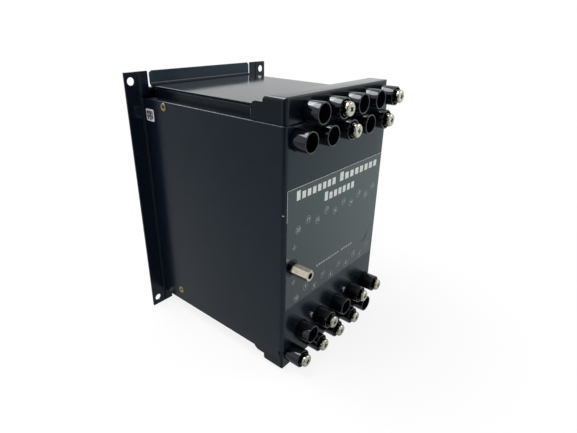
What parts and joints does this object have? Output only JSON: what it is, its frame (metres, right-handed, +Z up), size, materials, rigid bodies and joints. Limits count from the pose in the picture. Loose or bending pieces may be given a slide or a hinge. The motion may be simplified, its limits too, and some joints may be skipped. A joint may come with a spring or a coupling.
{
  "type": "protection relay",
  "caption": "Draw-out protection relay in a folded black steel panel case, with staggered rear screw terminals in insulating barrels and a windowed front cover.",
  "frame": {"origin": "centre of the four panel bolt holes, on the rear face of the mounting flange", "axes": "+Z up, the cover faces -Y, the rear terminals face +Y, +X is to the left as seen from behind"},
  "size_m": [0.1684, 0.213, 0.2286],
  "materials": {
    "case_paint": "semi-gloss black paint",
    "moulding": "moulded phenolic, semi-gloss black",
    "brass": "plain",
    "nickel": "nickel plated",
    "zinc": "zinc plated sheet",
    "eyelet": "yellow passivated",
    "label_film": "printed film",
    "sticker": "paper sticker",
    "nylon": "natural nylon",
    "panel_paint": "satin dark grey paint",
    "board": "green laminate",
    "chip": "moulded package",
    "capacitor": "blue sleeve",
    "can": "plain can",
    "core": "varnished laminations",
    "coil": "taped winding",
    "switch": "moulded switch body",
    "lens": "tinted lens",
    "red_button": "moulded button",
    "target": "painted drum",
    "window": "clear pane",
    "gasket": "soft rubber"
  },
  "bodies": {
    "case": {"case_wrap": "case_paint", "top_plate": "case_paint", "bottom_plate": "case_paint", "upper_rails": "moulding", "lower_rails": "moulding", "upper_terminal_block": "moulding", "lower_terminal_block": "moulding", "upper_barrels": "moulding", "lower_barrels": "moulding", "terminal_inserts": "brass", "terminal_screws": "nickel", "block_screws": "nickel", "ground_stud": "nickel", "ground_nut": "zinc", "side_eyelets": "eyelet", "rear_label": "label_film", "side_sticker": "sticker", "upper_contact_block": "moulding", "lower_contact_block": "moulding", "contact_straps": "brass", "guide_runners": "nylon"},
    "chassis": {"cradle": "zinc", "front_panel": "panel_paint", "panel_screws": "nickel", "upper_finger_block": "moulding", "lower_finger_block": "moulding", "contact_fingers": "brass", "control_board": "board", "logic_board": "board", "power_board": "board", "front_standoffs": "nickel", "side_standoffs": "nickel", "chips": "chip", "capacitors": "capacitor", "relay_cans": "can", "transformer_core": "core", "transformer_coil": "coil", "setting_pots": "zinc", "switch_bodies": "switch", "target_housings": "switch", "led_lenses": "lens", "cover_posts": "nickel"},
    "upper_plug": {"upper_plug": "moulding", "upper_blades": "brass"},
    "lower_plug": {"lower_plug": "moulding", "lower_blades": "brass"},
    "pickup_knob": {"pickup_knob": "moulding"},
    "time_knob": {"time_knob": "moulding"},
    "test_button_left": {"test_button_left": "red_button"},
    "test_button_right": {"test_button_right": "red_button"},
    "reset_button": {"reset_button": "switch"},
    "target_left": {"target_left": "target"},
    "target_right": {"target_right": "target"},
    "cover": {"cover_frame": "moulding", "cover_window": "window", "cover_gasket": "gasket"},
    "reset_rod": {"reset_rod": "nickel"},
    "thumb_nut_left": {"thumb_nut_left": "nickel"},
    "thumb_nut_right": {"thumb_nut_right": "nickel"}
  },
  "joints": [
    {"name": "chassis_draw_out", "type": "slide", "parent": "case", "child": "chassis", "axis": [0, -1, 0], "range_m": [0, 0.14]},
    {"name": "cover_pull_off", "type": "slide", "parent": "chassis", "child": "cover", "axis": [0, -1, 0], "range_m": [0, 0.06]},
    {"name": "thumb_nut_left_turn", "type": "hinge", "parent": "cover", "child": "thumb_nut_left", "pos_m": [-0.055, 0, 0], "axis": [0, 1, 0], "continuous": true},
    {"name": "thumb_nut_right_turn", "type": "hinge", "parent": "cover", "child": "thumb_nut_right", "pos_m": [0.055, 0, 0], "axis": [0, 1, 0], "continuous": true},
    {"name": "reset_rod_press", "type": "slide", "parent": "cover", "child": "reset_rod", "axis": [0, 1, 0], "range_m": [0, 0.003], "stiffness_N_per_m": 300, "springref_m": -0.002},
    {"name": "reset_button_press", "type": "slide", "parent": "chassis", "child": "reset_button", "axis": [0, 1, 0], "range_m": [0, 0.003]},
    {"name": "upper_plug_pull", "type": "slide", "parent": "chassis", "child": "upper_plug", "axis": [0, -1, 0], "range_m": [0, 0.01]},
    {"name": "lower_plug_pull", "type": "slide", "parent": "chassis", "child": "lower_plug", "axis": [0, -1, 0], "range_m": [0, 0.01]},
    {"name": "pickup_knob_turn", "type": "hinge", "parent": "chassis", "child": "pickup_knob", "pos_m": [-0.028, 0, 0.03], "axis": [0, -1, 0], "range_deg": [-150, 150]},
    {"name": "time_knob_turn", "type": "hinge", "parent": "chassis", "child": "time_knob", "pos_m": [0.028, 0, 0.03], "axis": [0, -1, 0], "range_deg": [-150, 150]},
    {"name": "test_button_left_press", "type": "slide", "parent": "chassis", "child": "test_button_left", "axis": [0, 1, 0], "range_m": [0, 0.0025], "stiffness_N_per_m": 400, "springref_m": -0.002},
    {"name": "test_button_right_press", "type": "slide", "parent": "chassis", "child": "test_button_right", "axis": [0, 1, 0], "range_m": [0, 0.0025], "stiffness_N_per_m": 400, "springref_m": -0.002},
    {"name": "target_left_turn", "type": "hinge", "parent": "chassis", "child": "target_left", "pos_m": [-0.014, 0.0065, -0.055], "axis": [1, 0, 0], "range_deg": [0, 90]},
    {"name": "target_right_turn", "type": "hinge", "parent": "chassis", "child": "target_right", "pos_m": [0.014, 0.0065, -0.055], "axis": [1, 0, 0], "range_deg": [0, 90]}
  ],
  "couplings": [
    {"joint": "reset_button_press", "follows": "reset_rod_press", "ratio": 1}
  ]
}
